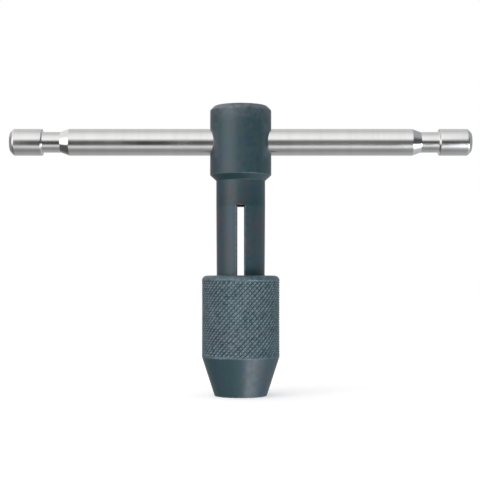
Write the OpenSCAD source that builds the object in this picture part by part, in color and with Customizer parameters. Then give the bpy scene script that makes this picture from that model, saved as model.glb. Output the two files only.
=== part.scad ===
// T-handle tap wrench with a sliding bar handle.
// The frame has +Z up the tool's axis, from the nose of the chuck nut at z = 0, and the bar lies along X.
// It is drawn with the jaws open, the bar centred and the nut at its lowest. Millimetres.

/* [Handle bar] */
// Diameter of the sliding bar
bar_d = 9.525; // [9:0.025:10]
// Length of the sliding bar
bar_len = 164.1; // [140:0.1:200]
// Length of the plain cap at each end of the bar, outside the neck
cap_len = 11.35; // [9:0.05:14]
// Length of the straight part of each neck
neck_len = 6.7; // [5:0.1:8]
// Length of the ramp from each neck up to the bar
ramp_len = 2.9; // [1.5:0.1:5]
// Diameter of the necks
neck_d = 7.35; // [6.6:0.05:8]
// Chamfer at the ends of the bar
bar_chamfer = 1.3; // [0.5:0.1:2]

/* [Head and shank] */
// Diameter of the round head
head_d = 21.8; // [20:0.1:24]
// Height of the head's flat top above the nose
head_top_z = 102.8; // [101:0.1:108]
// Height of the bar's axis above the nose
bar_z = 90; // [89:0.1:92]
// Chamfer round the head's top
head_chamfer = 1.5; // [0.5:0.1:2.5]
// Height at which the head starts to narrow towards the shank
shoulder_top_z = 78.2; // [78:0.1:79]
// Height of the shoulder's cone
shoulder_h = 2; // [1:0.1:2.2]
// Diameter of the shank
shank_d = 17.4; // [17:0.1:18]
// Radial clearance of the bar in the head's cross hole
bar_clearance = 0.0375; // [0.02:0.0025:0.08]

/* [Jaw legs] */
// Width of the slot between the two spring legs
slot_w = 2.4; // [2.3:0.05:3]
// Height of the slot's flat end
slot_end_z = 67.4; // [66:0.1:68]
// Diameter of the legs where their taper meets the thread
leg_low_d = 17; // [16.8:0.1:17.2]
// Diameter across the legs' thread, drawn as a plain cylinder
leg_thread_d = 16.6; // [16.4:0.05:16.7]
// Height at which the legs' thread ends
leg_thread_top_z = 40.2; // [39.8:0.1:42]
// Height of the jaw tips above the nose
jaw_tip_z = 3.6; // [3.6:0.1:4]
// Diameter of the pilot bore between the jaw tips
pilot_d = 7.4; // [7.2:0.1:7.6]
// Diameter of the relieved bore above the jaw tips
relief_d = 8.4; // [7.8:0.1:9]
// Width across the flats of the square that the two V notches form when open
square_w = 7; // [6.8:0.05:7.1]
// Length of the V notches
grip_len = 14; // [10:0.5:20]
// How far each leg swings in as the nut is tightened, in degrees
closing_deg = 0.98; // [0.8:0.01:0.99]

/* [Chuck nut] */
// Outer diameter of the nut
nut_d = 27.6; // [26:0.1:30]
// Length of the nut from its nose to its top
nut_len = 42.5; // [41:0.1:44]
// Diameter of the nose face
nose_d = 18.46; // [17:0.02:20]
// Height of the smooth cone at the nose
cone_h = 14; // [12:0.5:16]
// Rounding of the nut's top edge
top_round = 1.8; // [0.5:0.1:2.5]
// Diameter of the hole in the nose
nose_hole_d = 10.5; // [10:0.1:11]
// Length of the straight part of the nose hole
nose_land = 1.2; // [0.8:0.1:1.2]
// Half angle of the cone inside the nut and on the jaw tips, in degrees
wedge_deg = 18.1; // [18:0.05:20]
// Diameter of the nut's bore over the legs
nut_bore_d = 18.2; // [18:0.1:18.6]

/* [Thread] */
// Pitch of the right-hand thread
thread_pitch = 1.27; // [1.27:0.01:1.3]
// Turns of the nut from open to closed
closing_turns = 2.6; // [2.6:0.02:2.7]
// Inner diameter of the nut's threaded ring, drawn as a plain cylinder
ring_in_d = 16.72; // [16.72:0.01:16.8]
// Outer diameter of the threaded ring
ring_out_d = 19.2; // [19:0.1:19.4]
// Height of the threaded ring's lower face
ring_z = 24; // [20:0.5:24]
// Length of the threaded ring
ring_len = 12; // [8:0.5:12]

/* [Detent] */
// Diameter of the ball that presses on the bar
ball_d = 5; // [4.8:0.1:5]
// Diameter of the hole for the ball and its spring
ball_hole_d = 5.2; // [5.2:0.02:5.4]
// How far the set screw's top lies below the bar's axis
screw_drop = 14.5; // [14:0.1:14.6]
// Diameter of the set screw
screw_d = 6; // [5.8:0.1:6]
// Length of the set screw
screw_len = 5; // [4:0.1:5]
// Width across the flats of the set screw's hexagon socket
socket_w = 3; // [2:0.5:3]
// Diameter of the spring's wire
wire_d = 0.5; // [0.4:0.05:0.6]
// Outer diameter of the spring
spring_d = 4.3; // [4:0.1:4.5]
// Number of turns in the spring
spring_turns = 4.5; // [3:0.5:5]

/* [Hidden] */
$fn = 96;

black_oxide = [0.25, 0.29, 0.32];
dark_thread = [0.2, 0.22, 0.24];
bright_nickel = [0.82, 0.82, 0.83];
spring_steel = [0.55, 0.56, 0.58];

cut = 1;              // how far a cutting shape runs past what it cuts
seat_gap = 0.02;      // gap between two pieces that are seated against each other
wedge_gap = 0.03;     // gap between the jaws and the nut's cone when closed
ring_gap = 0.02;      // gap round the threaded ring in the nut
edge_break = 0.4;     // small chamfer on a turned edge
spring_sides = 6;     // sides of the spring wire's section
spring_steps = 16;    // steps along the wire in each turn

shoulder_z = shoulder_top_z - shoulder_h;
nut_travel = closing_turns * thread_pitch;
grip_top_z = jaw_tip_z + grip_len;
screw_top_z = bar_z - screw_drop;
screw_bottom_z = screw_top_z - screw_len;
ball_z = bar_z - bar_d / 2 - seat_gap - ball_d / 2;
cross_hole_d = bar_d + 2 * bar_clearance;

// Radius of the nut's inner cone at height z, with the nut at rest.
function wedge_r(z) = nose_hole_d / 2 + (z - nose_land) * tan(wedge_deg);

// Radius of the jaw tips' cone at height z once closed, when the nut has risen by its travel.
function closed_tip_r(z) = wedge_r(z - nut_travel) - wedge_gap / cos(wedge_deg);

// A straight hole along Z from height z0 to z1.
module hole_z(d, z0, z1) {
    translate([0, 0, z0]) cylinder(d = d, h = z1 - z0);
}

// The outside of the body above the slot, turned in one piece from head to shank.
module turned_body() {
    head_r = head_d / 2;
    shank_r = shank_d / 2;
    rotate_extrude() polygon([
        [0, slot_end_z],
        [shank_r, slot_end_z],
        [shank_r, shoulder_z],
        [head_r, shoulder_top_z],
        [head_r, head_top_z - head_chamfer],
        [head_r - head_chamfer, head_top_z],
        [0, head_top_z]
    ]);
}

// Head and solid shank, with the cross hole for the bar and the stepped bore that holds the detent.
module wrench_body() {
    color(black_oxide) difference() {
        turned_body();
        translate([0, 0, bar_z]) rotate([0, 90, 0]) cylinder(d = cross_hole_d, h = 2 * head_d, center = true);
        hole_z(relief_d, slot_end_z - cut, screw_bottom_z);
        hole_z(screw_d, screw_bottom_z - cut, screw_top_z);
        hole_z(ball_hole_d, screw_top_z - cut, bar_z);
    }
}

// The outside of both legs before the jaw tips are cut: a slight taper above a straight thread.
module turned_legs() {
    rotate_extrude() polygon([
        [0, jaw_tip_z],
        [leg_thread_d / 2, jaw_tip_z],
        [leg_thread_d / 2, leg_thread_top_z],
        [leg_low_d / 2, leg_thread_top_z],
        [shank_d / 2, slot_end_z],
        [0, slot_end_z]
    ]);
}

// Swings a shape drawn for the closed right leg out to where the open leg is, about the slot's end.
module opened() {
    translate([slot_w / 2, 0, slot_end_z]) rotate([0, -closing_deg, 0])
        translate([-slot_w / 2, 0, -slot_end_z]) children();
}

// The cone that the tips share when the legs are pinched together.
module closed_tip_cone() {
    cylinder(h = head_top_z, r1 = closed_tip_r(0), r2 = closed_tip_r(head_top_z));
}

// One spring leg with its V-notched jaw tip, on the +X side.
module jaw_leg() {
    color(black_oxide) difference() {
        intersection() {
            turned_legs();
            opened() closed_tip_cone();
            translate([slot_w / 2, -shank_d, jaw_tip_z]) cube([shank_d, 2 * shank_d, slot_end_z - jaw_tip_z]);
        }
        hole_z(pilot_d, jaw_tip_z - cut, grip_top_z + cut);
        hole_z(relief_d, grip_top_z, slot_end_z + cut);
        translate([0, 0, jaw_tip_z - cut]) linear_extrude(height = grip_len + cut)
            rotate(45) square(square_w, center = true);
    }
}

module right_jaw_leg() {
    jaw_leg();
}

module left_jaw_leg() {
    mirror([1, 0, 0]) jaw_leg();
}

// The nut's outline: smooth nose cone, straight knurled length and a rounded top edge.
module nut_outline() {
    nut_r = nut_d / 2;
    translate([nut_r - top_round, nut_len - top_round]) circle(r = top_round);
    polygon([
        [0, 0],
        [nose_d / 2 - edge_break, 0],
        [nose_d / 2, edge_break],
        [nut_r, cone_h],
        [nut_r, nut_len - top_round],
        [nut_r - top_round, nut_len],
        [0, nut_len]
    ]);
}

// Knurled chuck nut, whose inner cone wedges the jaw tips together.
module chuck_nut() {
    cone_top_z = nose_land + (nut_bore_d - nose_hole_d) / 2 / tan(wedge_deg);
    color(black_oxide) difference() {
        rotate_extrude() nut_outline();
        hole_z(nose_hole_d, -cut, nose_land + seat_gap);
        translate([0, 0, nose_land]) cylinder(h = cone_top_z - nose_land, r1 = nose_hole_d / 2, d2 = nut_bore_d);
        hole_z(nut_bore_d, cone_top_z - seat_gap, nut_len + cut);
        hole_z(ring_out_d + 2 * ring_gap, ring_z - ring_gap, ring_z + ring_len + ring_gap);
    }
}

// The nut's inner thread, a ring of its own so that the nut can turn and rise at once.
module chuck_nut_thread() {
    color(dark_thread) difference() {
        hole_z(ring_out_d, ring_z, ring_z + ring_len);
        hole_z(ring_in_d, ring_z - cut, ring_z + ring_len + cut);
    }
}

// Half of the bar's outline as [radius, distance from the centre], from its end to its ramp.
function bar_half() = [
    [0, bar_len / 2],
    [bar_d / 2 - bar_chamfer, bar_len / 2],
    [bar_d / 2, bar_len / 2 - bar_chamfer],
    [bar_d / 2, bar_len / 2 - cap_len],
    [neck_d / 2, bar_len / 2 - cap_len],
    [neck_d / 2, bar_len / 2 - cap_len - neck_len],
    [bar_d / 2, bar_len / 2 - cap_len - neck_len - ramp_len]
];

// Sliding bar with a neck at each end. The ball drops into a neck, whose square outer side then stops the bar.
module handle_bar() {
    half = bar_half();
    other_half = [for (i = [len(half) - 1 : -1 : 0]) [half[i][0], -half[i][1]]];
    color(bright_nickel) translate([0, 0, bar_z]) rotate([0, 90, 0])
        rotate_extrude() polygon(concat(half, other_half));
}

module detent_ball() {
    color(bright_nickel) translate([0, 0, ball_z]) sphere(d = ball_d);
}

// Set screw under the spring, with its hexagon socket facing down the bore.
module detent_screw() {
    socket_depth = screw_len / 2;
    color(spring_steel) difference() {
        hole_z(screw_d - 2 * seat_gap, screw_bottom_z, screw_top_z);
        translate([0, 0, screw_bottom_z - cut])
            cylinder(d = socket_w / cos(30), h = socket_depth + cut, $fn = 6);
    }
}

// Centre of the spring's wire at a step, counted from its lower end.
function coil_point(step, z0, z1) =
    let (
        angle = 360 * step / spring_steps,
        coil_r = (spring_d - wire_d) / 2,
        share = step / (spring_turns * spring_steps)
    )
    [coil_r * cos(angle), coil_r * sin(angle), z0 + share * (z1 - z0)];

// Section of the wire at a step: a small polygon in the plane through the tool's axis.
function coil_section(step, z0, z1) =
    let (centre = coil_point(step, z0, z1), angle = 360 * step / spring_steps)
    [for (k = [0 : spring_sides - 1])
        let (turn = 360 * k / spring_sides, out = wire_d / 2 * cos(turn))
        centre + [out * cos(angle), out * sin(angle), wire_d / 2 * sin(turn)]];

// Coil spring between the set screw and the ball, swept along its helix.
module detent_spring() {
    last = spring_turns * spring_steps;
    coil_r = (spring_d - wire_d) / 2;
    reach = (ball_d + wire_d) / 2 + seat_gap;
    low_z = screw_top_z + wire_d / 2 + seat_gap;
    high_z = ball_z - sqrt(reach * reach - coil_r * coil_r);
    points = [for (step = [0 : last]) each coil_section(step, low_z, high_z)];
    sides = [for (step = [0 : last - 1], k = [0 : spring_sides - 1])
        let (next = (k + 1) % spring_sides, low = step * spring_sides, high = low + spring_sides)
        each [[low + k, high + k, high + next], [low + k, high + next, low + next]]];
    first_cap = [for (k = [0 : spring_sides - 1]) k];
    last_cap = [for (k = [spring_sides - 1 : -1 : 0]) last * spring_sides + k];
    color(spring_steel) polyhedron(points = points, faces = concat([first_cap], sides, [last_cap]));
}

wrench_body();
left_jaw_leg();
right_jaw_leg();
chuck_nut();
chuck_nut_thread();
handle_bar();
detent_ball();
detent_spring();
detent_screw();
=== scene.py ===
"""Looks of the T-handle tap wrench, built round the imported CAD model.

Shapes are worked out in millimetres, in the frame of the model, and turned into metres when a mesh is made.
"""

import math

import bmesh
import bpy
import numpy as np
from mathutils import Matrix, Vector


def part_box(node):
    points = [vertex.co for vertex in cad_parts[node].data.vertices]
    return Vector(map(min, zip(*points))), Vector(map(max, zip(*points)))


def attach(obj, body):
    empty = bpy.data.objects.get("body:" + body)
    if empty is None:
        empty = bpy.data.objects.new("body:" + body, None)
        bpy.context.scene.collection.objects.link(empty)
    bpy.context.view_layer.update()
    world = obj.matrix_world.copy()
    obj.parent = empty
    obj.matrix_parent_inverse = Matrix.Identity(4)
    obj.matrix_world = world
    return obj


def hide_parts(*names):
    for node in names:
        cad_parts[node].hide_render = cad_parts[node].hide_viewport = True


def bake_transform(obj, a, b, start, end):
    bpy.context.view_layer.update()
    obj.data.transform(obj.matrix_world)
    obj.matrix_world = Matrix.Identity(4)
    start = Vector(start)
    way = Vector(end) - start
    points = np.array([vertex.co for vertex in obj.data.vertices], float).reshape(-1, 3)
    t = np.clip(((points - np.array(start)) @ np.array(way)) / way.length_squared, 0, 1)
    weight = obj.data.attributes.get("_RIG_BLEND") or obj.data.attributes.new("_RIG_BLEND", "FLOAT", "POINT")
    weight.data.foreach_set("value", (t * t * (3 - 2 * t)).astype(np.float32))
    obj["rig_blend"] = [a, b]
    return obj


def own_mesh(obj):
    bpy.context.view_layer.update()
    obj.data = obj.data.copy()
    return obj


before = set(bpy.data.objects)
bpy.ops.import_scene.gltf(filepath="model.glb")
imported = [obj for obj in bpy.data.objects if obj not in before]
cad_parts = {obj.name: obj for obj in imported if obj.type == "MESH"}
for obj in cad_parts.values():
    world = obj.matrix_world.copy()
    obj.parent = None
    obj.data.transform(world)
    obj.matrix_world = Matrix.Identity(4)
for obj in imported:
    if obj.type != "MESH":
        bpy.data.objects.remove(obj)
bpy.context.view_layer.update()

MM = 0.001
TURN = 2 * math.pi


def box_mm(node):
    """Lowest and highest corner of a CAD node, in millimetres."""
    low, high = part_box(node)
    return np.array(low) / MM, np.array(high) / MM


# ---------------------------------------------------------------- sizes, from the frame where it has them

body_high = box_mm("wrench_body")[1]
bar_low, bar_high = box_mm("handle_bar")
leg_low, leg_high = box_mm("right_jaw_leg")
nut_high = box_mm("chuck_nut")[1]
ring_low, ring_high = box_mm("chuck_nut_thread")
screw_low, screw_high = box_mm("detent_screw")
spring_low, spring_high = box_mm("detent_spring")

BAR_Z = (bar_low[2] + bar_high[2]) / 2
BAR_HALF = bar_high[0]
BAR_R = (bar_high[2] - bar_low[2]) / 2
CAP_LEN = 11.35
NECK_LEN = 6.7
RAMP_LEN = 2.9
NECK_R = 3.675
BAR_CHAMFER = 1.3

HEAD_R = body_high[0]
HEAD_TOP = body_high[2]
HEAD_CHAMFER = 1.5
SHOULDER_TOP = 78.2
SHOULDER_H = 2.0
SHANK_R = leg_high[0]
SLOT_END = leg_high[2]
CROSS_HOLE_R = BAR_R + 0.0375
BALL_HOLE_R = 2.6

SLOT_HALF = leg_low[0]
TIP_Z = leg_low[2]
LEG_LOW_R = 8.5
THREAD_TOP = 40.2
PILOT_R = 3.7
RELIEF_R = 4.2
GRIP_LEN = 14
GRIP_TOP = TIP_Z + GRIP_LEN
GRIP_FLATS = 7
SQUARE_CORNER = GRIP_FLATS / math.sqrt(2)
CLOSING = math.radians(0.98)

NUT_R = nut_high[0]
NUT_TOP = nut_high[2]
NOSE_R = 9.23
CONE_H = 14.0
TOP_ROUND = 1.8
NOSE_HOLE_R = 5.25
NOSE_LAND = 1.2
NUT_BORE_R = 9.1
WEDGE_SLOPE = math.tan(math.radians(18.1))
RING_LOW = ring_low[2]
RING_HIGH = ring_high[2]
NUT_TRAVEL = 3.302

PITCH = 1.27
THREAD_R = 8.3
THREAD_DEPTH = 0.68
THREAD_GAP = 0.06

# ---------------------------------------------------------------- mesh building

ARC_STEPS = 5
ARC_HOLD = 0.35
# Edges that bend by more than CREASE degrees are shaded sharp. A bend of WORN_BEND radians is fully worn.
CREASE = 32
WORN_BEND = 0.35
SEAM_REACH = 0.05


class Shell:
    """Points and faces of a mesh that is being put together, in millimetres."""

    def __init__(self):
        self.points = []
        self.faces = []

    def loop(self, points):
        """Adds points and returns their numbers."""
        start = len(self.points)
        self.points.extend(tuple(p) for p in points)
        return list(range(start, len(self.points)))

    def band(self, lower, upper):
        """Four-sided faces between two rings of the same length."""
        for i in range(len(lower)):
            j = (i + 1) % len(lower)
            self.faces.append((lower[i], lower[j], upper[j], upper[i]))

    def cap(self, loop):
        """Closes a flat loop with one face."""
        self.faces.append(tuple(loop))

    def fan(self, loop, tip):
        """Closes a loop with triangles to one point."""
        top = self.loop([tip])[0]
        for i, point in enumerate(loop):
            self.faces.append((point, loop[(i + 1) % len(loop)], top))

    def stitch(self, outer, inner):
        """Triangles between two rings round the Z axis whose points don't match."""

        def by_angle(loop):
            keyed = [(math.atan2(self.points[i][1], self.points[i][0]), i) for i in loop]
            keyed.sort()
            return keyed + [(keyed[0][0] + TURN, keyed[0][1])]

        a, b = by_angle(outer), by_angle(inner)
        i = j = 0
        while i < len(a) - 1 or j < len(b) - 1:
            step_a = j == len(b) - 1 or (i < len(a) - 1 and a[i + 1][0] <= b[j + 1][0])
            if step_a:
                self.faces.append((a[i][1], a[i + 1][1], b[j][1]))
                i += 1
            else:
                self.faces.append((a[i][1], b[j + 1][1], b[j][1]))
                j += 1


def rounded(corners):
    """An outline through (a, b, radius) corners, each turned into an arc.
    A point is held close to either side of an arc, so that its shading doesn't spread over the flats."""
    outline = [np.array(corners[0][:2], float)]
    for before, corner, after in zip(corners, corners[1:], corners[2:]):
        point = np.array(corner[:2], float)
        radius = corner[2]
        if not radius:
            outline.append(point)
            continue
        back = np.array(before[:2], float) - point
        ahead = np.array(after[:2], float) - point
        room = min(np.linalg.norm(back), np.linalg.norm(ahead))
        back /= np.linalg.norm(back)
        ahead /= np.linalg.norm(ahead)
        half = math.acos(np.clip(back @ ahead, -1, 1)) / 2
        reach = radius / math.tan(half)
        middle = back + ahead
        centre = point + middle / np.linalg.norm(middle) * radius / math.sin(half)
        first = point + back * reach - centre
        last = point + ahead * reach - centre
        held = min(reach + ARC_HOLD, (room + reach) / 2)
        outline.append(point + back * held)
        for share in np.linspace(0, 1, ARC_STEPS + 1):
            arm = first * (1 - share) + last * share
            outline.append(centre + arm * radius / np.linalg.norm(arm))
        outline.append(point + ahead * held)
    outline.append(np.array(corners[-1][:2], float))
    return outline


def ring_points(radius, z, count):
    """Points round the Z axis. The radius is one number, or a function of angle and height."""
    made = []
    for i in range(count):
        angle = TURN * i / count
        r = radius(angle, z) if callable(radius) else radius
        made.append((r * math.cos(angle), r * math.sin(angle), z))
    return made


def add_turned(shell, outline, count):
    """Rings round Z through (radius, z) points. Returns the first and the last ring."""
    rings = [shell.loop(ring_points(r, z, count)) for r, z in outline]
    for lower, upper in zip(rings, rings[1:]):
        shell.band(lower, upper)
    return rings[0], rings[-1]


def make_object(name, shell, crease=CREASE, along_x=False):
    """A Blender mesh object from a shell, in metres, with its normals outward.
    Edges above the crease angle stay sharp, and the corners are marked as worn."""
    points = np.array(shell.points, float)
    if along_x:
        points = np.stack([points[:, 2], points[:, 0], points[:, 1] + BAR_Z], axis=1)
    mesh = bpy.data.meshes.new(name)
    mesh.from_pydata((points * MM).tolist(), [], shell.faces)
    obj = bpy.data.objects.new(name, mesh)
    bpy.context.scene.collection.objects.link(obj)
    tidy_normals(mesh)
    finish_surface(mesh, crease)
    return obj


def tidy_normals(mesh):
    """Turns every face outward."""
    made = bmesh.new()
    made.from_mesh(mesh)
    bmesh.ops.recalc_face_normals(made, faces=made.faces)
    made.to_mesh(mesh)
    made.free()


def finish_surface(mesh, crease):
    """Smooth shading with sharp edges above the crease angle, and the wear attribute."""
    mesh.shade_smooth()
    mesh.set_sharp_from_angle(angle=math.radians(crease))
    mark_wear(mesh)


def mark_wear(mesh):
    """Writes how convex the surface is at each point to the wear attribute, from 0 to 1 on a sharp corner;
    this real edge wear later shares the attribute with the head chamfer's painted highlight.
    The seam between shank and legs gets none, since the metal runs on across it."""
    made = bmesh.new()
    made.from_mesh(mesh)
    wear_and_highlight = np.zeros(len(made.verts), np.float32)
    for edge in made.edges:
        if len(edge.link_faces) != 2:
            continue
        convex = edge.calc_face_angle_signed(0.0) / WORN_BEND
        for vert in edge.verts:
            wear_and_highlight[vert.index] = max(wear_and_highlight[vert.index], convex)
    made.free()
    for vert in mesh.vertices:
        if abs(vert.co.z - SLOT_END * MM) < SEAM_REACH * MM:
            wear_and_highlight[vert.index] = 0
    attribute = mesh.attributes.get("wear_and_highlight") or mesh.attributes.new("wear_and_highlight", "FLOAT", "POINT")
    attribute.data.foreach_set("value", np.clip(wear_and_highlight, 0, 1))


def cut_with(obj, tool_shell):
    """Takes a closed shape away from an object, and removes the shape."""
    tool = make_object("cutting_tool", tool_shell)
    cut = obj.modifiers.new("cut", "BOOLEAN")
    cut.operation = "DIFFERENCE"
    cut.solver = "EXACT"
    cut.object = tool
    bpy.context.view_layer.update()
    evaluated = obj.evaluated_get(bpy.context.evaluated_depsgraph_get())
    mesh = bpy.data.meshes.new_from_object(evaluated)
    obj.modifiers.clear()
    old = obj.data
    obj.data = mesh
    bpy.data.meshes.remove(old)
    tool_mesh = tool.data
    bpy.data.objects.remove(tool)
    bpy.data.meshes.remove(tool_mesh)
    finish_surface(obj.data, CREASE)


# ---------------------------------------------------------------- head and shank

BODY_SIDES = 128
WINDOW = BODY_SIDES // 8
WINDOW_ROWS = 18
WINDOW_HALF = 6.6
WINDOW_LOW = BAR_Z - WINDOW_HALF
WINDOW_HIGH = BAR_Z + WINDOW_HALF
WINDOW_SHARES = (0.3, 0.6, 0.85, 1.0)
RIM_ROUND = 0.3
RIM_STEPS = 4
HOLE_SHARES = (0.2, 0.4, 0.6, 0.8)
SHANK_FILLET = 0.45
SHOULDER_ROUND = 0.35
HEAD_ROUND = 0.5
BORE_SIDES = 64
BORE_OVERRUN = 1.0
# painted highlight on the head's top chamfer, which faces the light from above, and how far it reaches
CHAMFER_HIGHLIGHT = 0.9
CHAMFER_HIGHLIGHT_REACH = 0.35


def body_point(column, z):
    """A point of the head's outer wall."""
    angle = TURN * column / BODY_SIDES
    return (HEAD_R * math.cos(angle), HEAD_R * math.sin(angle), z)


def hole_window(shell, grid, side):
    """Fills the square window in the head's wall on one side with rings that run in to the cross hole's rim.
    Returns the innermost ring, which lies in the hole's wall."""
    rows = range(WINDOW_ROWS + 1)
    border = [(column, 0) for column in range(-WINDOW, WINDOW + 1)]
    border += [(WINDOW, row) for row in rows[1:]]
    border += [(column, WINDOW_ROWS) for column in range(WINDOW - 1, -WINDOW - 1, -1)]
    border += [(-WINDOW, row) for row in rows[-2:0:-1]]
    if side < 0:
        named = [((BODY_SIDES // 2 - column) % BODY_SIDES, row) for column, row in border]
    else:
        named = [(column % BODY_SIDES, row) for column, row in border]
    previous = [grid[key] for key in named]
    edge = [np.array([shell.points[i][1], shell.points[i][2] - BAR_Z]) for i in previous]
    rim_r = CROSS_HOLE_R + RIM_ROUND
    rim = [rim_r * flat / np.linalg.norm(flat) for flat in edge]
    for share in WINDOW_SHARES:
        ring = []
        for far, near in zip(edge, rim):
            y, dz = far * (1 - share) + near * share
            ring.append((side * math.sqrt(HEAD_R**2 - y * y), y, BAR_Z + dz))
        added = shell.loop(ring)
        shell.band(previous, added)
        previous = added
    for turn in np.linspace(0, math.pi / 2, RIM_STEPS + 1)[1:]:
        ring = []
        for near in rim:
            flat = near / rim_r * (rim_r - RIM_ROUND * math.sin(turn))
            wall_x = math.sqrt(HEAD_R**2 - near[0] ** 2) - RIM_ROUND * (1 - math.cos(turn))
            ring.append((side * wall_x, flat[0], BAR_Z + flat[1]))
        added = shell.loop(ring)
        shell.band(previous, added)
        previous = added
    return previous


def in_window(column, row):
    """Whether a grid point of the head's wall lies inside one of the two windows."""
    away = min(column, BODY_SIDES - column, abs(column - BODY_SIDES // 2))
    return away < WINDOW and 0 < row < WINDOW_ROWS


def window_face(column, row):
    """Whether the grid face that starts at a point lies in one of the two windows."""
    middle = column + 0.5
    away = min(middle, BODY_SIDES - middle, abs(middle - BODY_SIDES // 2))
    return away < WINDOW and 0 <= row < WINDOW_ROWS


def build_wrench_body():
    """Head with its cross hole, shoulder, shank down to the slot, and the stepped bore up to the bar."""
    shell = Shell()
    grid = {}
    for row in range(WINDOW_ROWS + 1):
        z = WINDOW_LOW + (WINDOW_HIGH - WINDOW_LOW) * row / WINDOW_ROWS
        for column in range(BODY_SIDES):
            if not in_window(column, row):
                grid[column, row] = shell.loop([body_point(column, z)])[0]
    for row in range(WINDOW_ROWS):
        for column in range(BODY_SIDES):
            if not window_face(column, row):
                beside = (column + 1) % BODY_SIDES
                shell.faces.append(
                    (grid[column, row], grid[beside, row], grid[beside, row + 1], grid[column, row + 1])
                )
    right = hole_window(shell, grid, 1)
    left = hole_window(shell, grid, -1)
    inner = right
    for share in HOLE_SHARES:
        points = []
        for a, b in zip(right, left):
            points.append(np.array(shell.points[a]) * (1 - share) + np.array(shell.points[b]) * share)
        ring = shell.loop(points)
        shell.band(inner, ring)
        inner = ring
    shell.band(inner, left)

    lower = rounded(
        [
            (SHANK_R, SLOT_END, 0),
            (SHANK_R, SHOULDER_TOP - SHOULDER_H, SHANK_FILLET),
            (HEAD_R, SHOULDER_TOP, SHOULDER_ROUND),
            (HEAD_R, WINDOW_LOW, 0),
        ]
    )
    upper = rounded(
        [
            (HEAD_R, WINDOW_HIGH, 0),
            (HEAD_R, HEAD_TOP - HEAD_CHAMFER, HEAD_ROUND),
            (HEAD_R - HEAD_CHAMFER, HEAD_TOP, HEAD_ROUND),
            (HEAD_R / 2, HEAD_TOP, 0),
        ]
    )
    first, last = add_turned(shell, lower[:-1], BODY_SIDES)
    shell.band(last, [grid[column, 0] for column in range(BODY_SIDES)])
    shell.cap(first)
    start, end = add_turned(shell, upper[1:], BODY_SIDES)
    shell.band([grid[column, WINDOW_ROWS] for column in range(BODY_SIDES)], start)
    shell.fan(end, (0, 0, HEAD_TOP))
    body = make_object("wrench_body_turned", shell)

    bore = Shell()
    outline = [
        (RELIEF_R, SLOT_END - BORE_OVERRUN),
        (RELIEF_R, screw_low[2]),
        (screw_high[0], screw_low[2]),
        (screw_high[0], screw_high[2]),
        (BALL_HOLE_R, screw_high[2]),
        (BALL_HOLE_R, BAR_Z - BORE_OVERRUN),
    ]
    bottom, top = add_turned(bore, outline, BORE_SIDES)
    bore.cap(bottom)
    bore.cap(top)
    cut_with(body, bore)
    paint_chamfer_highlight(body.data)
    return body


def paint_chamfer_highlight(mesh):
    """Paints a highlight on the head's top chamfer, which faces the light from above, by raising its wear
    value there, and by half as much just beside it.
    """
    wear_and_highlight = mesh.attributes["wear_and_highlight"].data
    for vert in mesh.vertices:
        below = HEAD_TOP - HEAD_CHAMFER - vert.co.z / MM
        inside = HEAD_R - HEAD_CHAMFER - vert.co.xy.length / MM
        away = max(below, inside)
        if away < 2 * CHAMFER_HIGHLIGHT_REACH:
            highlight_level = CHAMFER_HIGHLIGHT if away < CHAMFER_HIGHLIGHT_REACH else CHAMFER_HIGHLIGHT / 2
            wear_and_highlight[vert.index].value = max(wear_and_highlight[vert.index].value, highlight_level)


# ---------------------------------------------------------------- jaw legs

THREAD_ROWS = 8
THREAD_FADE = 0.8
TIP_GAP = 0.03
TIP_CONE_TOP = CONE_H + 4
HALVINGS = 30
EDGE_ROUNDS = 8
LEG_COLUMNS = 56
BORE_COLUMNS = LEG_COLUMNS - 7
LEG_UPPER_ROWS = 28
# A thread row this near to the grip's step or to the thread's top is left out.
STEP_ROOM = 0.05
ROW_ROOM = 0.02
SLOT_BEVEL = 0.3
HAIR = 0.001
MERGE_REACH = 0.0005


def thread_radius(angle, z):
    """Radius of the legs' right-hand thread."""
    turn = z / PITCH - angle / TURN
    return THREAD_R - THREAD_DEPTH / 2 * (1 - math.cos(TURN * turn))


def closed_tip_r(z):
    """Radius of the jaw tips' cone once the legs are pinched together."""
    gap = TIP_GAP * math.sqrt(1 + WEDGE_SLOPE**2)
    return NOSE_HOLE_R + (z - NUT_TRAVEL - NOSE_LAND) * WEDGE_SLOPE - gap


def tip_radius(angle, z):
    """Radius of the open right leg's tip: the closed cone, swung out about the slot's end."""
    low, high = 1.0, 2 * NUT_R
    cosine, sine = math.cos(CLOSING), math.sin(CLOSING)
    for _ in range(HALVINGS):
        r = (low + high) / 2
        x, y = r * math.cos(angle) - SLOT_HALF, r * math.sin(angle)
        dz = z - SLOT_END
        closed_x = x * cosine + dz * sine + SLOT_HALF
        closed_z = dz * cosine - x * sine + SLOT_END
        inside = math.hypot(closed_x, y) < closed_tip_r(closed_z)
        low, high = (r, high) if inside else (low, r)
    return low


def leg_radius(angle, z):
    """Outer radius of the right leg."""
    if z > THREAD_TOP:
        share = (z - THREAD_TOP) / (SLOT_END - THREAD_TOP)
        return LEG_LOW_R + (SHANK_R - LEG_LOW_R) * share
    turned = thread_radius(angle, z)
    if z < THREAD_TOP - THREAD_FADE:
        return min(turned, tip_radius(angle, z)) if z < TIP_CONE_TOP else turned
    share = (z - THREAD_TOP + THREAD_FADE) / THREAD_FADE
    return turned + (LEG_LOW_R - turned) * share


def grip_radius(angle):
    """Inner radius at the jaws: the pilot bore, opened by the square that the V notches form."""
    return max(PILOT_R, SQUARE_CORNER / (abs(math.cos(angle)) + abs(math.sin(angle))))


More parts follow.
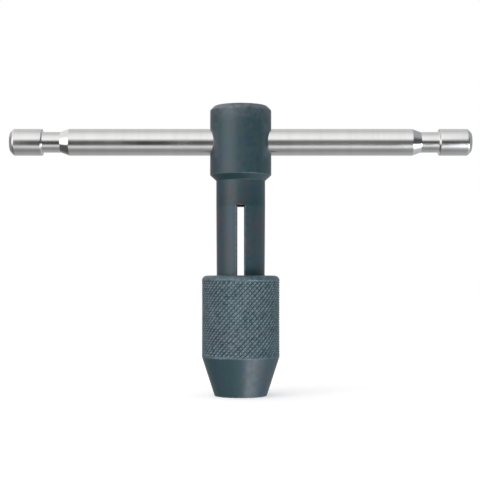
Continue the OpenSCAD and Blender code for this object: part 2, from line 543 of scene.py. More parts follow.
def leg_rows():
    """Heights of the leg's rings: close together on the thread and the tip, wider above."""
    tip = list(np.arange(TIP_Z, THREAD_TOP, PITCH / THREAD_ROWS))
    above = list(np.linspace(THREAD_TOP, SLOT_END, LEG_UPPER_ROWS))
    rows = [z for z in tip if abs(z - GRIP_TOP) > STEP_ROOM and THREAD_TOP - z > ROW_ROOM]
    return sorted(rows + [GRIP_TOP] + above)


def edge_angle(z, at_x):
    """Angle at which the leg's outer surface reaches a plane of constant X."""
    angle = math.acos(at_x / THREAD_R)
    for _ in range(EDGE_ROUNDS):
        angle = math.acos(at_x / leg_radius(angle, z))
    return angle


def leg_section(z, grip):
    """Points round one section of the right leg: outer surface, slot face, bore and the other slot face."""
    reach = edge_angle(z, SLOT_HALF + SLOT_BEVEL)
    outer = []
    for angle in np.linspace(-reach, reach, LEG_COLUMNS):
        r = leg_radius(angle, z)
        outer.append((r * math.cos(angle), r * math.sin(angle), z))
    outer_y = outer[-1][1] - SLOT_BEVEL
    relief_y = math.sqrt(RELIEF_R**2 - SLOT_HALF**2)
    inner_y = SQUARE_CORNER - SLOT_HALF if grip else relief_y
    middle_y = relief_y + HAIR
    bore_reach = math.atan2(inner_y, SLOT_HALF)
    bore = []
    for angle in np.linspace(bore_reach, -bore_reach, BORE_COLUMNS):
        r = grip_radius(angle) if grip else RELIEF_R
        bore.append((r * math.cos(angle), r * math.sin(angle), z))
    face = [(SLOT_HALF, y, z) for y in (outer_y, (outer_y + middle_y) / 2, middle_y)]
    other_face = [(x, -y, height) for x, y, height in reversed(face)]
    return outer + face + bore + other_face


def build_leg(name, side):
    """One spring leg with its threaded outside, slot faces, V-notched grip and coned tip."""
    shell = Shell()
    previous = None
    for z in leg_rows():
        grip = z <= GRIP_TOP
        ring = shell.loop(leg_section(z, grip))
        if previous:
            shell.band(previous, ring)
        else:
            tip_ring = ring
        previous = ring
        if z == GRIP_TOP:
            step = shell.loop(leg_section(z, False))
            shell.band(ring, step)
            previous = step
    close_leg_end(shell, tip_ring)
    close_leg_end(shell, previous)
    if side < 0:
        shell.points = [(-x, y, z) for x, y, z in shell.points]
    obj = make_object(name, shell)
    merge_doubles(obj.data)
    paint_slot_shade(obj.data, side)
    return obj


def paint_slot_shade(mesh, side):
    """Writes 1 on the slot's faces and their broken edges, to the point attribute for painted shade: the
    oxide is drawn dark and dull there, as the slot between the legs lies in shade.
    """
    edge_x = (SLOT_HALF + SLOT_BEVEL / 2) * MM
    near = [1.0 if vert.co.x * side < edge_x else 0.0 for vert in mesh.vertices]
    attribute = mesh.attributes.new("painted_slot_shade", "FLOAT", "POINT")
    attribute.data.foreach_set("value", near)


def close_leg_end(shell, ring):
    """Flat end of a leg: the outer arc joined to the slot faces' and the bore's points."""
    outer = ring[:LEG_COLUMNS]
    rest = ring[LEG_COLUMNS:]
    face, bore, other = rest[:3], rest[3:-3], rest[-3:]
    inner = [face[1]] + [face[2]] + bore + [other[0]] + [other[1]]
    inner.reverse()
    # the inner row has fewer points than the outer arc, so the slot faces' outer points fill it up
    spare = len(outer) - len(inner)
    inner = [other[2]] * (spare // 2) + inner + [face[0]] * (spare - spare // 2)
    for i in range(len(outer) - 1):
        corners = [outer[i], outer[i + 1], inner[i + 1], inner[i]]
        kept = [corner for k, corner in enumerate(corners) if corner != corners[k - 1]]
        shell.faces.append(tuple(kept))


def merge_doubles(mesh):
    """Joins points that lie on each other, such as where the step in the bore meets the slot faces."""
    made = bmesh.new()
    made.from_mesh(mesh)
    bmesh.ops.remove_doubles(made, verts=made.verts, dist=MERGE_REACH * MM)
    bmesh.ops.recalc_face_normals(made, faces=made.faces)
    made.to_mesh(mesh)
    made.free()
    finish_surface(mesh, CREASE)


# ---------------------------------------------------------------- chuck nut

KNURL_STARTS = 50
KNURL_DEPTH = 0.52
CROSS_DEPTH = 0.37
GROOVE_WIDTH = 0.84
KNURL_SAMPLES = (0.0, 0.2, 0.42, 0.58, 0.8)
KNURL_LOW = 13.9
KNURL_HIGH = 40.9
RUN_OUT = 0.8
SMOOTH_HEIGHT = 0.7
KNURL_CREASE = 50
SPARE_ROWS = 6
CUT_REACH = 1e-4
RIM_REACH = 1e-3
NUT_SIDES = 160
CONE_TOP = KNURL_LOW - 0.3
TOP_FACE_R = NUT_R - TOP_ROUND - 0.4
TOP_STEPS = 6
NOSE_FACE_R = NOSE_HOLE_R + 0.6
NOSE_ROUND = 0.4
NOSE_HOLE_ROUND = 0.25
WEDGE_FOOT_ROUND = 0.15
BORE_ROUND = 0.3
# The first step down the cone is short, so that the wear on the knurl's edge stays there.
CONE_SHARES = (0, 0.02, 0.15, 0.3, 0.45, 0.6, 0.75, 0.9)


def groove(share):
    """Depth of a knurl groove across one ridge, from 1 in the valley to 0 on the crest."""
    away = abs(share - round(share)) * 2
    return max(0.0, 1 - away / GROOVE_WIDTH)


def nut_outline_r(z):
    """Radius of the nut's turned outline: the nose cone, the straight length and the rounded top edge."""
    cone = NOSE_R + (NUT_R - NOSE_R) * z / CONE_H
    above = z - (NUT_TOP - TOP_ROUND)
    if above > 0:
        return NUT_R - TOP_ROUND + math.sqrt(max(0.0, TOP_ROUND**2 - above**2))
    return min(NUT_R, cone)


def knurl_point(s, t):
    """A point of the knurled surface, and its height from 0 in a valley to 1 on a crest.
    Whole values of s and t run along the grooves of the two helices, which run out at both ends."""
    z = (s - t) / 2 * TURN * NUT_R / KNURL_STARTS
    angle = (s + t) / 2 * TURN / KNURL_STARTS
    fade = min(1.0, max(0.0, min(z - KNURL_LOW, KNURL_HIGH - z) / RUN_OUT))
    sunk = max(KNURL_DEPTH * groove(t), CROSS_DEPTH * groove(s))
    r = min(NUT_R, nut_outline_r(z)) - sunk * fade
    height = SMOOTH_HEIGHT + (1 - sunk / KNURL_DEPTH - SMOOTH_HEIGHT) * fade
    return (r * math.cos(angle), r * math.sin(angle), z), height


def knurl_mesh():
    """The knurled band as a lattice that follows its grooves, trimmed flat at both ends."""
    per_turn = KNURL_STARTS * len(KNURL_SAMPLES)

    def sample(number):
        whole, part = divmod(number, len(KNURL_SAMPLES))
        return whole + KNURL_SAMPLES[part]

    axial = TURN * NUT_R / KNURL_STARTS
    first = math.floor(2 * KNURL_LOW / axial * len(KNURL_SAMPLES)) - SPARE_ROWS
    last = math.ceil(2 * KNURL_HIGH / axial * len(KNURL_SAMPLES)) + SPARE_ROWS
    made = bmesh.new()
    height_layer = made.verts.layers.float.new("height")
    verts = {}
    for i in range(per_turn):
        for k in range(first, last + 1):
            place, height = knurl_point(sample(i), sample(i - k))
            verts[i, k] = made.verts.new(place)
            verts[i, k][height_layer] = height
    for i in range(per_turn):
        beside = (i + 1) % per_turn
        for k in range(first + 1, last):
            made.faces.new((verts[i, k], verts[beside, k + 1], verts[beside, k], verts[i, k - 1]))
    for height, upward in ((KNURL_LOW, False), (KNURL_HIGH, True)):
        geometry = made.verts[:] + made.edges[:] + made.faces[:]
        bmesh.ops.bisect_plane(
            made,
            geom=geometry,
            dist=CUT_REACH,
            plane_co=(0, 0, height),
            plane_no=(0, 0, 1),
            clear_outer=upward,
            clear_inner=not upward,
        )
    return made


def build_chuck_nut():
    """Knurled nut with its nose cone, inner cone, bore and the thread that runs on the legs."""
    made = knurl_mesh()
    made.verts.index_update()
    height_layer = made.verts.layers.float["height"]
    heights = [vert[height_layer] for vert in made.verts]
    shell = Shell()
    shell.points = [tuple(vert.co) for vert in made.verts]
    shell.faces = [tuple(vert.index for vert in face.verts) for face in made.faces]
    rims = {}
    for name, level in (("low", KNURL_LOW), ("high", KNURL_HIGH)):
        rims[name] = [vert.index for vert in made.verts if abs(vert.co.z - level) < RIM_REACH]
    made.free()

    arc = []
    start = math.asin((KNURL_HIGH - NUT_TOP + TOP_ROUND) / TOP_ROUND)
    for turn in np.linspace(start, math.pi / 2, TOP_STEPS + 1)[1:]:
        inward = TOP_ROUND * (1 - math.cos(turn))
        downward = TOP_ROUND * (1 - math.sin(turn))
        arc.append((NUT_R - inward, NUT_TOP - downward))
    arc.append((TOP_FACE_R, NUT_TOP))
    top_start, top_end = add_turned(shell, arc, NUT_SIDES)
    shell.stitch(rims["high"], top_start)

    nose = rounded(
        [
            (nut_outline_r(CONE_TOP), CONE_TOP, 0),
            (NOSE_R, 0, NOSE_ROUND),
            (NOSE_FACE_R, 0, 0),
        ]
    )
    cone_steps = [nose[0] * (1 - share) + nose[1] * share for share in CONE_SHARES]
    nose_start, nose_end = add_turned(shell, cone_steps + nose[1:], NUT_SIDES)
    shell.stitch(rims["low"], nose_start)

    def inner_thread(angle, z):
        return thread_radius(angle, z) + THREAD_GAP

    cone_top = NOSE_LAND + (NUT_BORE_R - NOSE_HOLE_R) / WEDGE_SLOPE
    below = rounded(
        [
            (NOSE_FACE_R, 0, 0),
            (NOSE_HOLE_R, 0, NOSE_HOLE_ROUND),
            (NOSE_HOLE_R, NOSE_LAND, WEDGE_FOOT_ROUND),
            (NUT_BORE_R, cone_top, BORE_ROUND),
            (NUT_BORE_R, RING_LOW, 0),
        ]
    )
    above = rounded([(NUT_BORE_R, RING_HIGH, 0), (NUT_BORE_R, NUT_TOP, BORE_ROUND), (TOP_FACE_R, NUT_TOP, 0)])
    thread_rows = list(np.arange(RING_LOW, RING_HIGH + 1e-6, PITCH / THREAD_ROWS)) + [RING_HIGH]
    thread_outline = [(inner_thread, z) for z in thread_rows]
    outline = [tuple(p) for p in below[1:]] + thread_outline + [tuple(p) for p in above[:-1]]
    inner_start, inner_end = add_turned(shell, outline, NUT_SIDES)
    shell.band(nose_end, inner_start)
    shell.band(inner_end, top_end)
    heights += [SMOOTH_HEIGHT] * (len(shell.points) - len(heights))

    nut = make_object("chuck_nut_knurled", shell, crease=KNURL_CREASE)
    attribute = nut.data.attributes.new("height", "FLOAT", "POINT")
    attribute.data.foreach_set("value", np.array(heights, np.float32))
    return nut


# ---------------------------------------------------------------- handle bar

BAR_SIDES = 128
AXIS_R = 0.01
END_ROUND = 0.5
CHAMFER_ROUND = 0.6
CAP_ROUND = 0.18
NECK_FILLET = 0.3
RAMP_FOOT_ROUND = 1.2
RAMP_TOP_ROUND = 0.8
STRAIGHT_SHARES = (0.75, 0.5, 0.25)
STRAIGHT_INSET = 2


def build_handle_bar():
    """Round bar with chamfered ends and a neck near each end, its corners slightly broken."""
    cap_x = BAR_HALF - CAP_LEN
    neck_x = cap_x - NECK_LEN
    half = rounded(
        [
            (AXIS_R, BAR_HALF, 0),
            (BAR_R - BAR_CHAMFER, BAR_HALF, END_ROUND),
            (BAR_R, BAR_HALF - BAR_CHAMFER, CHAMFER_ROUND),
            (BAR_R, cap_x, CAP_ROUND),
            (NECK_R, cap_x, NECK_FILLET),
            (NECK_R, neck_x, RAMP_FOOT_ROUND),
            (BAR_R, neck_x - RAMP_LEN, RAMP_TOP_ROUND),
            (BAR_R, 0, 0),
        ]
    )
    straight = [(BAR_R, share * (neck_x - RAMP_LEN - STRAIGHT_INSET)) for share in STRAIGHT_SHARES]
    right = [tuple(p) for p in half[1:-1]] + straight
    left = [(r, -x) for r, x in reversed(right)]
    shell = Shell()
    first, last = add_turned(shell, right + [(BAR_R, 0)] + left, BAR_SIDES)
    shell.fan(first, (0, 0, BAR_HALF))
    shell.fan(last, (0, 0, -BAR_HALF))
    return make_object("handle_bar_turned", shell, along_x=True)


# ---------------------------------------------------------------- detent: screw and spring

SCREW_SIDES = 72
SCREW_PITCH = 1.0
SCREW_THREAD_DEPTH = 0.54
SCREW_CHAMFER = 0.6
SCREW_LAND = 0.35
LAST_ROW_ROOM = 0.01
SOCKET_SIDES = 6
SOCKET_FLATS = 3.0
DRILL_POINT = 0.5
WIRE_R = 0.25
WIRE_SIDES = 12
COILS = 4.5
COIL_STEPS = 36
END_CROWDING = 0.11


def build_detent_screw():
    """Set screw with a rolled thread, chamfered ends and a hexagon socket that faces down the bore."""
    low, high = screw_low[2], screw_high[2]
    r = screw_high[0]
    socket_r = SOCKET_FLATS / 2 / math.cos(math.pi / SOCKET_SIDES)
    socket_end = low + (high - low) / 2

    def thread(angle, z):
        turn = z / SCREW_PITCH - angle / TURN
        cut = SCREW_THREAD_DEPTH / 2 * (1 - math.cos(TURN * turn))
        end = min(z - low, high - z)
        return min(r - cut, r - SCREW_CHAMFER + end)

    shell = Shell()
    rows = np.arange(low, high + LAST_ROW_ROOM, SCREW_PITCH / THREAD_ROWS)
    outline = [(r - SCREW_CHAMFER - SCREW_LAND, low)] + [(thread, z) for z in rows]
    first, last = add_turned(shell, outline, SCREW_SIDES)
    shell.fan(last, (0, 0, high))
    mouth = shell.loop(ring_points(socket_r, low, SOCKET_SIDES))
    floor = shell.loop(ring_points(socket_r, socket_end, SOCKET_SIDES))
    shell.stitch(first, mouth)
    shell.band(mouth, floor)
    shell.fan(floor, (0, 0, socket_end + DRILL_POINT))
    return make_object("detent_set_screw", shell)


def build_detent_spring():
    """Round-wire spring whose end turns lie closer together than the ones between."""
    coil_r = spring_high[0] - WIRE_R
    low, high = spring_low[2] + WIRE_R, spring_high[2] - WIRE_R
    steps = int(COILS * COIL_STEPS)
    up = np.array([0, 0, 1])
    shell = Shell()
    rings = []
    for step in range(steps + 1):
        share = step / steps
        angle = TURN * COILS * share
        ease = share - END_CROWDING * math.sin(2 * TURN * share) / 2
        out = np.array([math.cos(angle), math.sin(angle), 0])
        centre = coil_r * out + (low + ease * (high - low)) * up
        turns = [TURN * k / WIRE_SIDES for k in range(WIRE_SIDES)]
        ring = [centre + WIRE_R * (math.cos(turn) * out + math.sin(turn) * up) for turn in turns]
        rings.append(shell.loop(ring))
    for a, b in zip(rings, rings[1:]):
        shell.band(a, b)
    shell.cap(rings[0])
    shell.cap(rings[-1])
    return make_object("detent_coil_spring", shell)


# ---------------------------------------------------------------- materials

NOISE_ROUGHNESS = 0.55


class Nodes:
    """Short calls for building the nodes of one material or world."""

    def __init__(self, tree):
        self.tree = tree
        self.tree.nodes.clear()

    def add(self, kind, inputs=None, **settings):
        """A new node. Inputs are numbers, colours or other nodes' sockets."""
        node = self.tree.nodes.new(kind)
        for name, value in settings.items():
            setattr(node, name, value)
        for name, value in (inputs or {}).items():
            self.set(node.inputs[name], value)
        return node

    def set(self, socket, value):
        if isinstance(value, bpy.types.NodeSocket):
            self.tree.links.new(value, socket)
        else:
            socket.default_value = value

    def math(self, operation, *values, clamp=False):
        node = self.add("ShaderNodeMath", operation=operation, use_clamp=clamp)
        for socket, value in zip(node.inputs, values):
            self.set(socket, value)
        return node.outputs[0]

    def span(self, value, low, high, to_low=0.0, to_high=1.0):
        """Maps a value from one range to another, without leaving the second."""
        inputs = {"Value": value, "From Min": low, "From Max": high, "To Min": to_low, "To Max": to_high}
        return self.add("ShaderNodeMapRange", inputs).outputs[0]

    def noise(self, vector, scale, detail):
        inputs = {"Vector": vector, "Scale": scale, "Detail": detail, "Roughness": NOISE_ROUGHNESS}
        return self.add("ShaderNodeTexNoise", inputs).outputs["Fac"]

    def mix(self, factor, a, b):
        """Mixes two colours."""
        node = self.add("ShaderNodeMix", data_type="RGBA")
        self.set(node.inputs["Factor"], factor)
        self.set(node.inputs["A"], a)
        self.set(node.inputs["B"], b)
        return node.outputs["Result"]

    def attribute(self, name):
        return self.add("ShaderNodeAttribute", attribute_name=name).outputs["Fac"]

    def bump(self, height, distance, strength):
        inputs = {"Height": height, "Distance": distance, "Strength": strength}
        return self.add("ShaderNodeBump", inputs).outputs[0]

    def principled(self, inputs):
        shader = self.add("ShaderNodeBsdfPrincipled", inputs)
        self.add("ShaderNodeOutputMaterial", {"Surface": shader.outputs[0]})


def grey(value):
    """An opaque grey."""
    return (value, value, value, 1.0)


def new_material(name):
    """An empty material, and the calls that fill it with nodes."""
    material = bpy.data.materials.new(name)
    material.use_nodes = True
    return material, Nodes(material.node_tree)


# Noise scales are in waves to the metre, and bump distances in metres.
PATCH_SCALE = 95
NAVY_SCALE = 160
MOTTLE_SCALE = 700
GRAIN_SCALE = 5200
LINE_SCALE = 2600
BAND_SCALE = 420
OXIDE_ROUGH = 0.36
OXIDE_RELIEF = 0.00002
OXIDE_TEAL = (0.009, 0.052, 0.058, 1)
OXIDE_PURPLE = (0.033, 0.043, 0.055, 1)
OXIDE_NAVY = (0.010, 0.045, 0.082, 1)
OXIDE_DARK = (0.005, 0.018, 0.025, 1)
# worn steel colour for real worn corners, also used for the painted highlight on the head's top chamfer
WORN_STEEL_AND_HIGHLIGHT = (0.31, 0.33, 0.38, 1)
CREST_STEEL = (0.32, 0.43, 0.48, 1)
HANDLED = 0.06

PLATE_LINE_SCALE = 5200
PLATE_BAND_SCALE = 260
PLATE_GRAIN_SCALE = 3000
SMUDGE_SCALE = 70
PLATE_ROUGH = 0.10
PLATE_RELIEF = 0.000004
PLATE_PALE = (0.775, 0.775, 0.77, 1)
PLATE_DEEP = (0.735, 0.735, 0.73, 1)

FILM_SCALE = 900
STEEL_GRAIN_SCALE = 9000
STEEL_RELIEF = 0.000003
FILM_DARKENING = 0.7
BALL_TINT = (0.72, 0.72, 0.73, 1)
BALL_ROUGH = 0.08
SPRING_TINT = (0.42, 0.43, 0.45, 1)
SPRING_ROUGH = 0.25


def black_oxide(name, knurled=False, worn=0.6):
    """Oiled black oxide on turned steel: coloured patches, fine turning lines, lighter worn corners, a
    painted highlight on the head's top chamfer and painted shade in the slot.
    """
    material, n = new_material(name)
    place = n.add("ShaderNodeTexCoord").outputs["Object"]
    axes = n.add("ShaderNodeSeparateXYZ", {"Vector": place})
    across = n.add("ShaderNodeCombineXYZ", {"Z": axes.outputs["Z"]}).outputs[0]

    patches = n.noise(place, PATCH_SCALE, detail=4)
    navy = n.noise(place, NAVY_SCALE, detail=3)
    mottle = n.noise(place, MOTTLE_SCALE, detail=3)
    grain = n.noise(place, GRAIN_SCALE, detail=2)
    lines = n.noise(across, LINE_SCALE, detail=2)
    bands = n.noise(across, BAND_SCALE, detail=2)

    # painted shade: the slot's faces and broken edges are drawn dark, less glossy and without wear, as the
    # slot between the legs lies in shade
    painted_slot_shade = n.attribute("painted_slot_shade")
    tint = n.mix(n.span(patches, 0.49, 0.64), OXIDE_TEAL, OXIDE_PURPLE)
    tint = n.mix(n.span(navy, 0.52, 0.66, 0.0, 0.8), tint, OXIDE_NAVY)
    dull = n.math("MULTIPLY", n.span(mottle, 0.35, 0.7), 0.35)
    colour = n.mix(n.math("MAXIMUM", dull, painted_slot_shade), tint, OXIDE_DARK)
    # real edge wear, plus the painted highlight on the head's top chamfer, drawn as worn steel
    wear_and_highlight = n.math("MULTIPLY", n.attribute("wear_and_highlight"), n.span(mottle, 0.3, 0.65, 0.25, 1.0))
    bare_and_highlight = n.math("MULTIPLY", n.math("SUBTRACT", wear_and_highlight, painted_slot_shade, clamp=True), worn)
    gloss = n.span(painted_slot_shade, 0.0, 1.0, 0.6, 0.1)
    if knurled:
        # the grooves keep their oil and scale, and hands brighten the crests
        height = n.attribute("height")
        gloss = n.span(height, 0.1, 0.7, 0.15, 0.6)
        colour = n.mix(n.span(height, 0.65, 0.1, 0.0, 0.95), colour, OXIDE_DARK)
        crest = n.math("MULTIPLY", n.span(height, 0.75, 1.0), n.span(mottle, 0.3, 0.6, 0.5, 0.85))
        bare_and_highlight = n.math("MAXIMUM", n.math("MAXIMUM", bare_and_highlight, crest), HANDLED)
    colour = n.mix(bare_and_highlight, colour, CREST_STEEL if knurled else WORN_STEEL_AND_HIGHLIGHT)

    rough = n.math("ADD", OXIDE_ROUGH, n.math("MULTIPLY", n.span(mottle, 0.3, 0.7), 0.12))
    rough = n.math("ADD", rough, n.math("MULTIPLY", n.math("SUBTRACT", bands, 0.5), 0.1))
    relief = n.math("ADD", n.math("MULTIPLY", lines, 0.6), n.math("MULTIPLY", grain, 0.4))
    n.principled(
        {
            "Base Color": colour,
            "Metallic": n.math("ADD", 0.12, n.math("MULTIPLY", bare_and_highlight, 0.8), clamp=True),
            "Roughness": rough,
            "Specular IOR Level": gloss,
            "Coat Weight": 0.05,
            "Coat Roughness": 0.22,
            "Normal": n.bump(relief, OXIDE_RELIEF, 0.35),
        }
    )
    return material


def bright_nickel(name):
    """Bright plate on a ground bar: fine rings round it, and rings on the turned end faces."""
    material, n = new_material(name)
    place = n.add("ShaderNodeTexCoord").outputs["Object"]
    axes = n.add("ShaderNodeSeparateXYZ", {"Vector": place})
    height = n.math("SUBTRACT", axes.outputs["Z"], BAR_Z * MM)
    square_y = n.math("POWER", axes.outputs["Y"], 2.0)
    from_axis = n.math("SQRT", n.math("ADD", square_y, n.math("POWER", height, 2.0)))
    along = n.math("ADD", axes.outputs["X"], from_axis)
    track = n.add("ShaderNodeCombineXYZ", {"X": along}).outputs[0]
    lines = n.noise(track, PLATE_LINE_SCALE, detail=3)
    broad = n.noise(track, PLATE_BAND_SCALE, detail=2)
    smudge = n.noise(place, SMUDGE_SCALE, detail=4)
    grain = n.noise(place, PLATE_GRAIN_SCALE, detail=2)
    rough = n.math("ADD", PLATE_ROUGH, n.math("MULTIPLY", n.span(smudge, 0.35, 0.7), 0.09))
    rough = n.math("ADD", rough, n.math("MULTIPLY", n.span(lines, 0.3, 0.7), 0.05))
    colour = n.mix(n.span(broad, 0.35, 0.65), PLATE_PALE, PLATE_DEEP)
    relief = n.math("ADD", lines, n.math("MULTIPLY", grain, 0.25))
    n.principled(
        {
            "Base Color": colour,
            "Metallic": 1.0,
            "Roughness": rough,
            "Normal": n.bump(relief, PLATE_RELIEF, 0.5),
        }
    )
    return material


def bare_steel(name, tint, rough):
    """Small steel parts: a fine grain over a faint oil film."""
    material, n = new_material(name)
    place = n.add("ShaderNodeTexCoord").outputs["Object"]
    film = n.noise(place, FILM_SCALE, detail=3)
    grain = n.noise(place, STEEL_GRAIN_SCALE, detail=2)
    filmed = tuple(FILM_DARKENING * part for part in tint[:3]) + (1,)
    colour = n.mix(n.span(film, 0.35, 0.7), tint, filmed)
    n.principled(
        {
            "Base Color": colour,
            "Metallic": 1.0,
            "Roughness": n.math("ADD", rough, n.math("MULTIPLY", film, 0.08)),
            "Normal": n.bump(grain, STEEL_RELIEF, 0.4),
        }
    )
    return material


def dress(obj, material):
    """Gives a piece one material."""
    obj.data.materials.clear()
    obj.data.materials.append(material)


# ---------------------------------------------------------------- camera, floor and light

CAMERA_PLACE = Vector((-0.00025, -0.417, 0.040))
CAMERA_TILT = 2.08
CAMERA_LENS = 88.0
SENSOR_WIDTH = 36.0

# Radii of the stage are in metres.
FLOOR_R = 2.5
FLOOR_GAP = 0.02
FLOOR_GREY = 0.86
FLOOR_GLOW = 0.42
DOME_R = 4.0


def make_camera():
    """Long lens in front of the wrench, at the height of its nut and tilted up a little."""
    data = bpy.data.cameras.new("camera")
    data.lens = CAMERA_LENS
    data.sensor_width = SENSOR_WIDTH
    data.clip_start = 0.01
    data.clip_end = 20.0
    camera = bpy.data.objects.new("camera", data)
    bpy.context.scene.collection.objects.link(camera)
    camera.location = CAMERA_PLACE
    camera.rotation_euler = (math.radians(90 + CAMERA_TILT), 0, 0)
    bpy.context.scene.camera = camera


def stage_object(name, mesh, material):
    """Part of the stage: only the camera sees it, because the world stands for its light."""
    obj = bpy.data.objects.new(name, mesh)
    bpy.context.scene.collection.objects.link(obj)
    mesh.materials.append(material)
    for kind in ("diffuse", "glossy", "transmission", "shadow", "volume_scatter"):
        setattr(obj, "visible_" + kind, False)


def make_floor():
    """Pale floor that the nose stands on."""
    made = bmesh.new()
    bmesh.ops.create_circle(made, cap_ends=True, segments=96, radius=FLOOR_R)
    bmesh.ops.translate(made, verts=made.verts, vec=(0, 0, -FLOOR_GAP * MM))
    mesh = bpy.data.meshes.new("floor")
    made.to_mesh(mesh)
    made.free()
    material, n = new_material("pale_floor")
    n.principled(
        {
            "Base Color": grey(FLOOR_GREY),
            "Roughness": 0.9,
            "Specular IOR Level": 0.0,
            "Emission Color": grey(1.0),
            "Emission Strength": FLOOR_GLOW,
        }
    )
    stage_object("floor", mesh, material)


def make_backdrop():
    """White dome round the scene."""
    made = bmesh.new()
    bmesh.ops.create_icosphere(made, subdivisions=4, radius=DOME_R)
    mesh = bpy.data.meshes.new("backdrop")
    made.to_mesh(mesh)
    made.free()
    material, n = new_material("white_backdrop")
    glow = n.add("ShaderNodeEmission", {"Color": grey(1.0), "Strength": 1.0})
    n.add("ShaderNodeOutputMaterial", {"Surface": glow.outputs[0]})
    stage_object("backdrop", mesh, material)


# Brightness of the studio over the bar, as (angle above the camera's direction in degrees, light).
OVER_STOPS = [
    (-180, 0.56),
    (-150, 0.50),
    (-115, 0.42),
    (-88, 0.30),
    (-72, 0.30),
    (-62, 0.45),
    (-54, 0.72),
    (-43, 0.82),
    (-36, 0.55),
    (-28, 0.14),
    (-20, 0.04),
    (-6, 0.04),
    (2, 0.12),
    (10, 0.45),
    (18, 0.88),
    (27, 1.16),
    (45, 1.10),
    (60, 1.02),
    (80, 0.84),
    (100, 0.67),
    (130, 0.70),
    (180, 0.56),
]
# Brightness of the studio round the upright parts, as (angle to the right of the camera's direction, light).
ROUND_STOPS = [
    (-180, 0.80),
    (-145, 0.40),
    (-120, 0.28),
    (-98, 0.32),
    (-84, 0.50),
    (-68, 1.5),
    (-54, 1.95),
    (-36, 1.95),
    (-22, 1.5),
    (-8, 0.70),
    (6, 0.12),
    (25, 0.06),
    (60, 0.10),
    (85, 0.32),
    (110, 0.42),
    (140, 0.40),
    (180, 0.80),
]
# The same for the light from below, which the nose cone reflects.
LOW_STOPS = [
    (-180, 0.40),
    (-150, 0.25),
    (-118, 0.14),
    (-60, 0.10),
    (-35, 0.10),
    (-22, 0.50),
    (-5, 3.00),
    (14, 5.20),
    (34, 5.40),
    (52, 4.20),
    (76, 1.60),
    (100, 0.75),
    (140, 0.60),
    (180, 0.40),
]
UPPER_LEFT, UPPER_RIGHT = 0.95, 0.45
BELOW_LEFT, BELOW_RIGHT = 0.1, 0.6
BAND_FILL = 0.22
# Values of the world's direction vector between which one run of light goes over into the next.
FILL_START = (-0.01, 0.03)
FILL_END = (0.155, 0.14)
UPPER_SPREAD = (-0.3, 0.3)
UPPER_Z = (0.3, 0.65)
LOW_Z = (-0.27, -0.43)
BELOW_SPREAD = (-0.15, 0.3)
BELOW_Z = (-0.67, -0.78)
TONE_SPREAD = (-0.3, 0.2)
OVER_X = (0.215, 0.26)
LEFT_TONE = (1.03, 0.985, 0.99, 1)
RIGHT_TONE = (0.965, 1.0, 1.05, 1)


def ramp(n, angle, stops):
    """Light as a function of an angle in radians, from a list of stops in degrees."""
    node = n.add("ShaderNodeValToRGB")
    n.set(node.inputs[0], n.math("ADD", n.math("DIVIDE", angle, TURN), 0.5))
    band = node.color_ramp
    band.interpolation = "EASE"
    while len(band.elements) > 1:
        band.elements.remove(band.elements[-1])
    top = max(light for _, light in stops)
    for number, (degrees, light) in enumerate(stops):
        position = degrees / 360 + 0.5
        stop = band.elements[0] if number == 0 else band.elements.new(position)
        stop.position = position
        stop.color = grey(light / top)
    return n.math("MULTIPLY", node.outputs[0], top)


def make_world():
    """Soft studio: one run of light over the bar, another round the upright parts."""
    world = bpy.data.worlds.new("studio")
    bpy.context.scene.world = world
    world.use_nodes = True
    n = Nodes(world.node_tree)
    place = n.add("ShaderNodeTexCoord").outputs["Generated"]
    axes = n.add("ShaderNodeSeparateXYZ", {"Vector": place})
    x, y, z = (axes.outputs[name] for name in "XYZ")
    toward = n.math("MULTIPLY", y, -1.0)
    over = ramp(n, n.math("ARCTAN2", z, toward), OVER_STOPS)
    # the dark band over the bar is filled in a little on the right of the head
    fill = n.math("MULTIPLY", n.span(x, *FILL_START, 0.0, BAND_FILL), n.span(x, *FILL_END))
    over = n.math("MAXIMUM", over, fill)

    azimuth = n.math("ARCTAN2", x, toward)
    around = ramp(n, azimuth, ROUND_STOPS)
    upper = n.span(x, *UPPER_SPREAD, UPPER_LEFT, UPPER_RIGHT)
    around = n.mix(n.span(z, *UPPER_Z), around, upper)
    around = n.mix(n.span(z, *LOW_Z), around, ramp(n, azimuth, LOW_STOPS))
    below = n.span(x, *BELOW_SPREAD, BELOW_LEFT, BELOW_RIGHT)
    around = n.mix(n.span(z, *BELOW_Z), around, below)
    tone = n.mix(n.span(x, *TONE_SPREAD), LEFT_TONE, RIGHT_TONE)
    around = n.add("ShaderNodeVectorMath", {0: around, 1: tone}, operation="MULTIPLY").outputs["Vector"]

    # the run over the bar fades out away from the upright plane through the camera
    light = n.mix(n.span(n.math("ABSOLUTE", x), *OVER_X), over, around)
    background = n.add("ShaderNodeBackground", {"Color": light, "Strength": 1.0})
    n.add("ShaderNodeOutputWorld", {"Surface": background.outputs[0]})


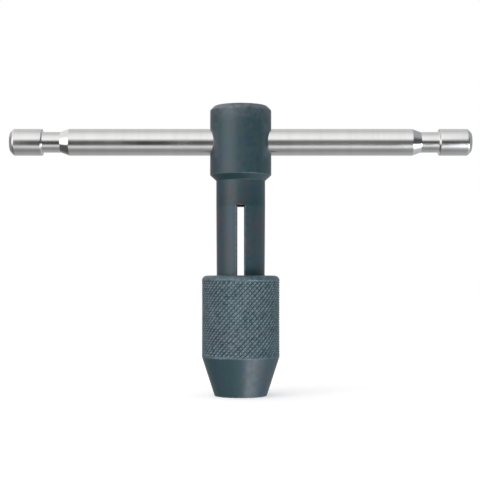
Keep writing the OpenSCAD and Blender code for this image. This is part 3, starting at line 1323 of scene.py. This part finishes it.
def area_light(name, azimuth, elevation, distance, size, power):
    """A soft box that faces the middle of the wrench. Azimuth 0 is the camera's side, and 90 is +X."""
    data = bpy.data.lights.new(name, "AREA")
    data.shape = "RECTANGLE"
    data.size, data.size_y = size
    data.energy = power
    lamp = bpy.data.objects.new(name, data)
    bpy.context.scene.collection.objects.link(lamp)
    a, e = math.radians(azimuth), math.radians(elevation)
    aim = Vector((0, 0, HEAD_TOP * MM / 2))
    away = Vector((math.sin(a) * math.cos(e), -math.cos(a) * math.cos(e), math.sin(e)))
    lamp.location = aim + away * distance
    lamp.rotation_mode = "QUATERNION"
    lamp.rotation_quaternion = away.to_track_quat("Z", "Y")
    # the world alone makes the reflections
    lamp.visible_glossy = False


def make_lights():
    area_light("key_left", azimuth=-50, elevation=20, distance=0.9, size=(0.5, 0.6), power=1.2)
    area_light("fill_right", azimuth=65, elevation=25, distance=1.0, size=(0.5, 0.5), power=0.4)


# ---------------------------------------------------------------- the pieces on their bodies

BEND_LENGTH = 12


def seat(obj, body, slot, material, *nodes):
    """Puts a piece on its body, in place of the CAD nodes that it stands for."""
    dress(obj, material)
    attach(obj, body)
    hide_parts(*nodes)


def main():
    make_camera()
    make_floor()
    make_backdrop()
    make_world()
    make_lights()

    oxide = black_oxide("body_black_oxide")
    knurled = black_oxide("nut_black_oxide", knurled=True, worn=0.5)
    screw_oxide = black_oxide("screw_black_oxide", worn=0.3)
    nickel = bright_nickel("bar_bright_nickel")
    ball_steel = bare_steel("ball_steel", BALL_TINT, BALL_ROUGH)
    spring_steel = bare_steel("spring_steel", SPRING_TINT, SPRING_ROUGH)

    seat(build_wrench_body(), "body", "body_black_oxide", oxide, "wrench_body")
    # a leg bends over its top part, so its root stays joined to the shank
    bend_start = (0, 0, SLOT_END * MM)
    bend_end = (0, 0, (SLOT_END - BEND_LENGTH) * MM)
    for name, body, node, side in (
        ("left_leg_threaded", "left_leg", "left_jaw_leg", -1),
        ("right_leg_threaded", "right_leg", "right_jaw_leg", 1),
    ):
        leg = build_leg(name, side)
        dress(leg, oxide)
        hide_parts(node)
        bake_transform(leg, "body", body, start=bend_start, end=bend_end)
    seat(build_chuck_nut(), "nut", "nut_black_oxide", knurled, "chuck_nut", "chuck_nut_thread")
    seat(build_handle_bar(), "bar", "bar_bright_nickel", nickel, "handle_bar")
    seat(build_detent_screw(), "body", "screw_black_oxide", screw_oxide, "detent_screw")

    spring = build_detent_spring()
    seat(spring, "body", "spring_steel", spring_steel, "detent_spring")
    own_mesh(spring)

    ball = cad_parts["detent_ball"]
    dress(ball, ball_steel)

    bpy.context.scene.view_settings.view_transform = "Standard"


main()
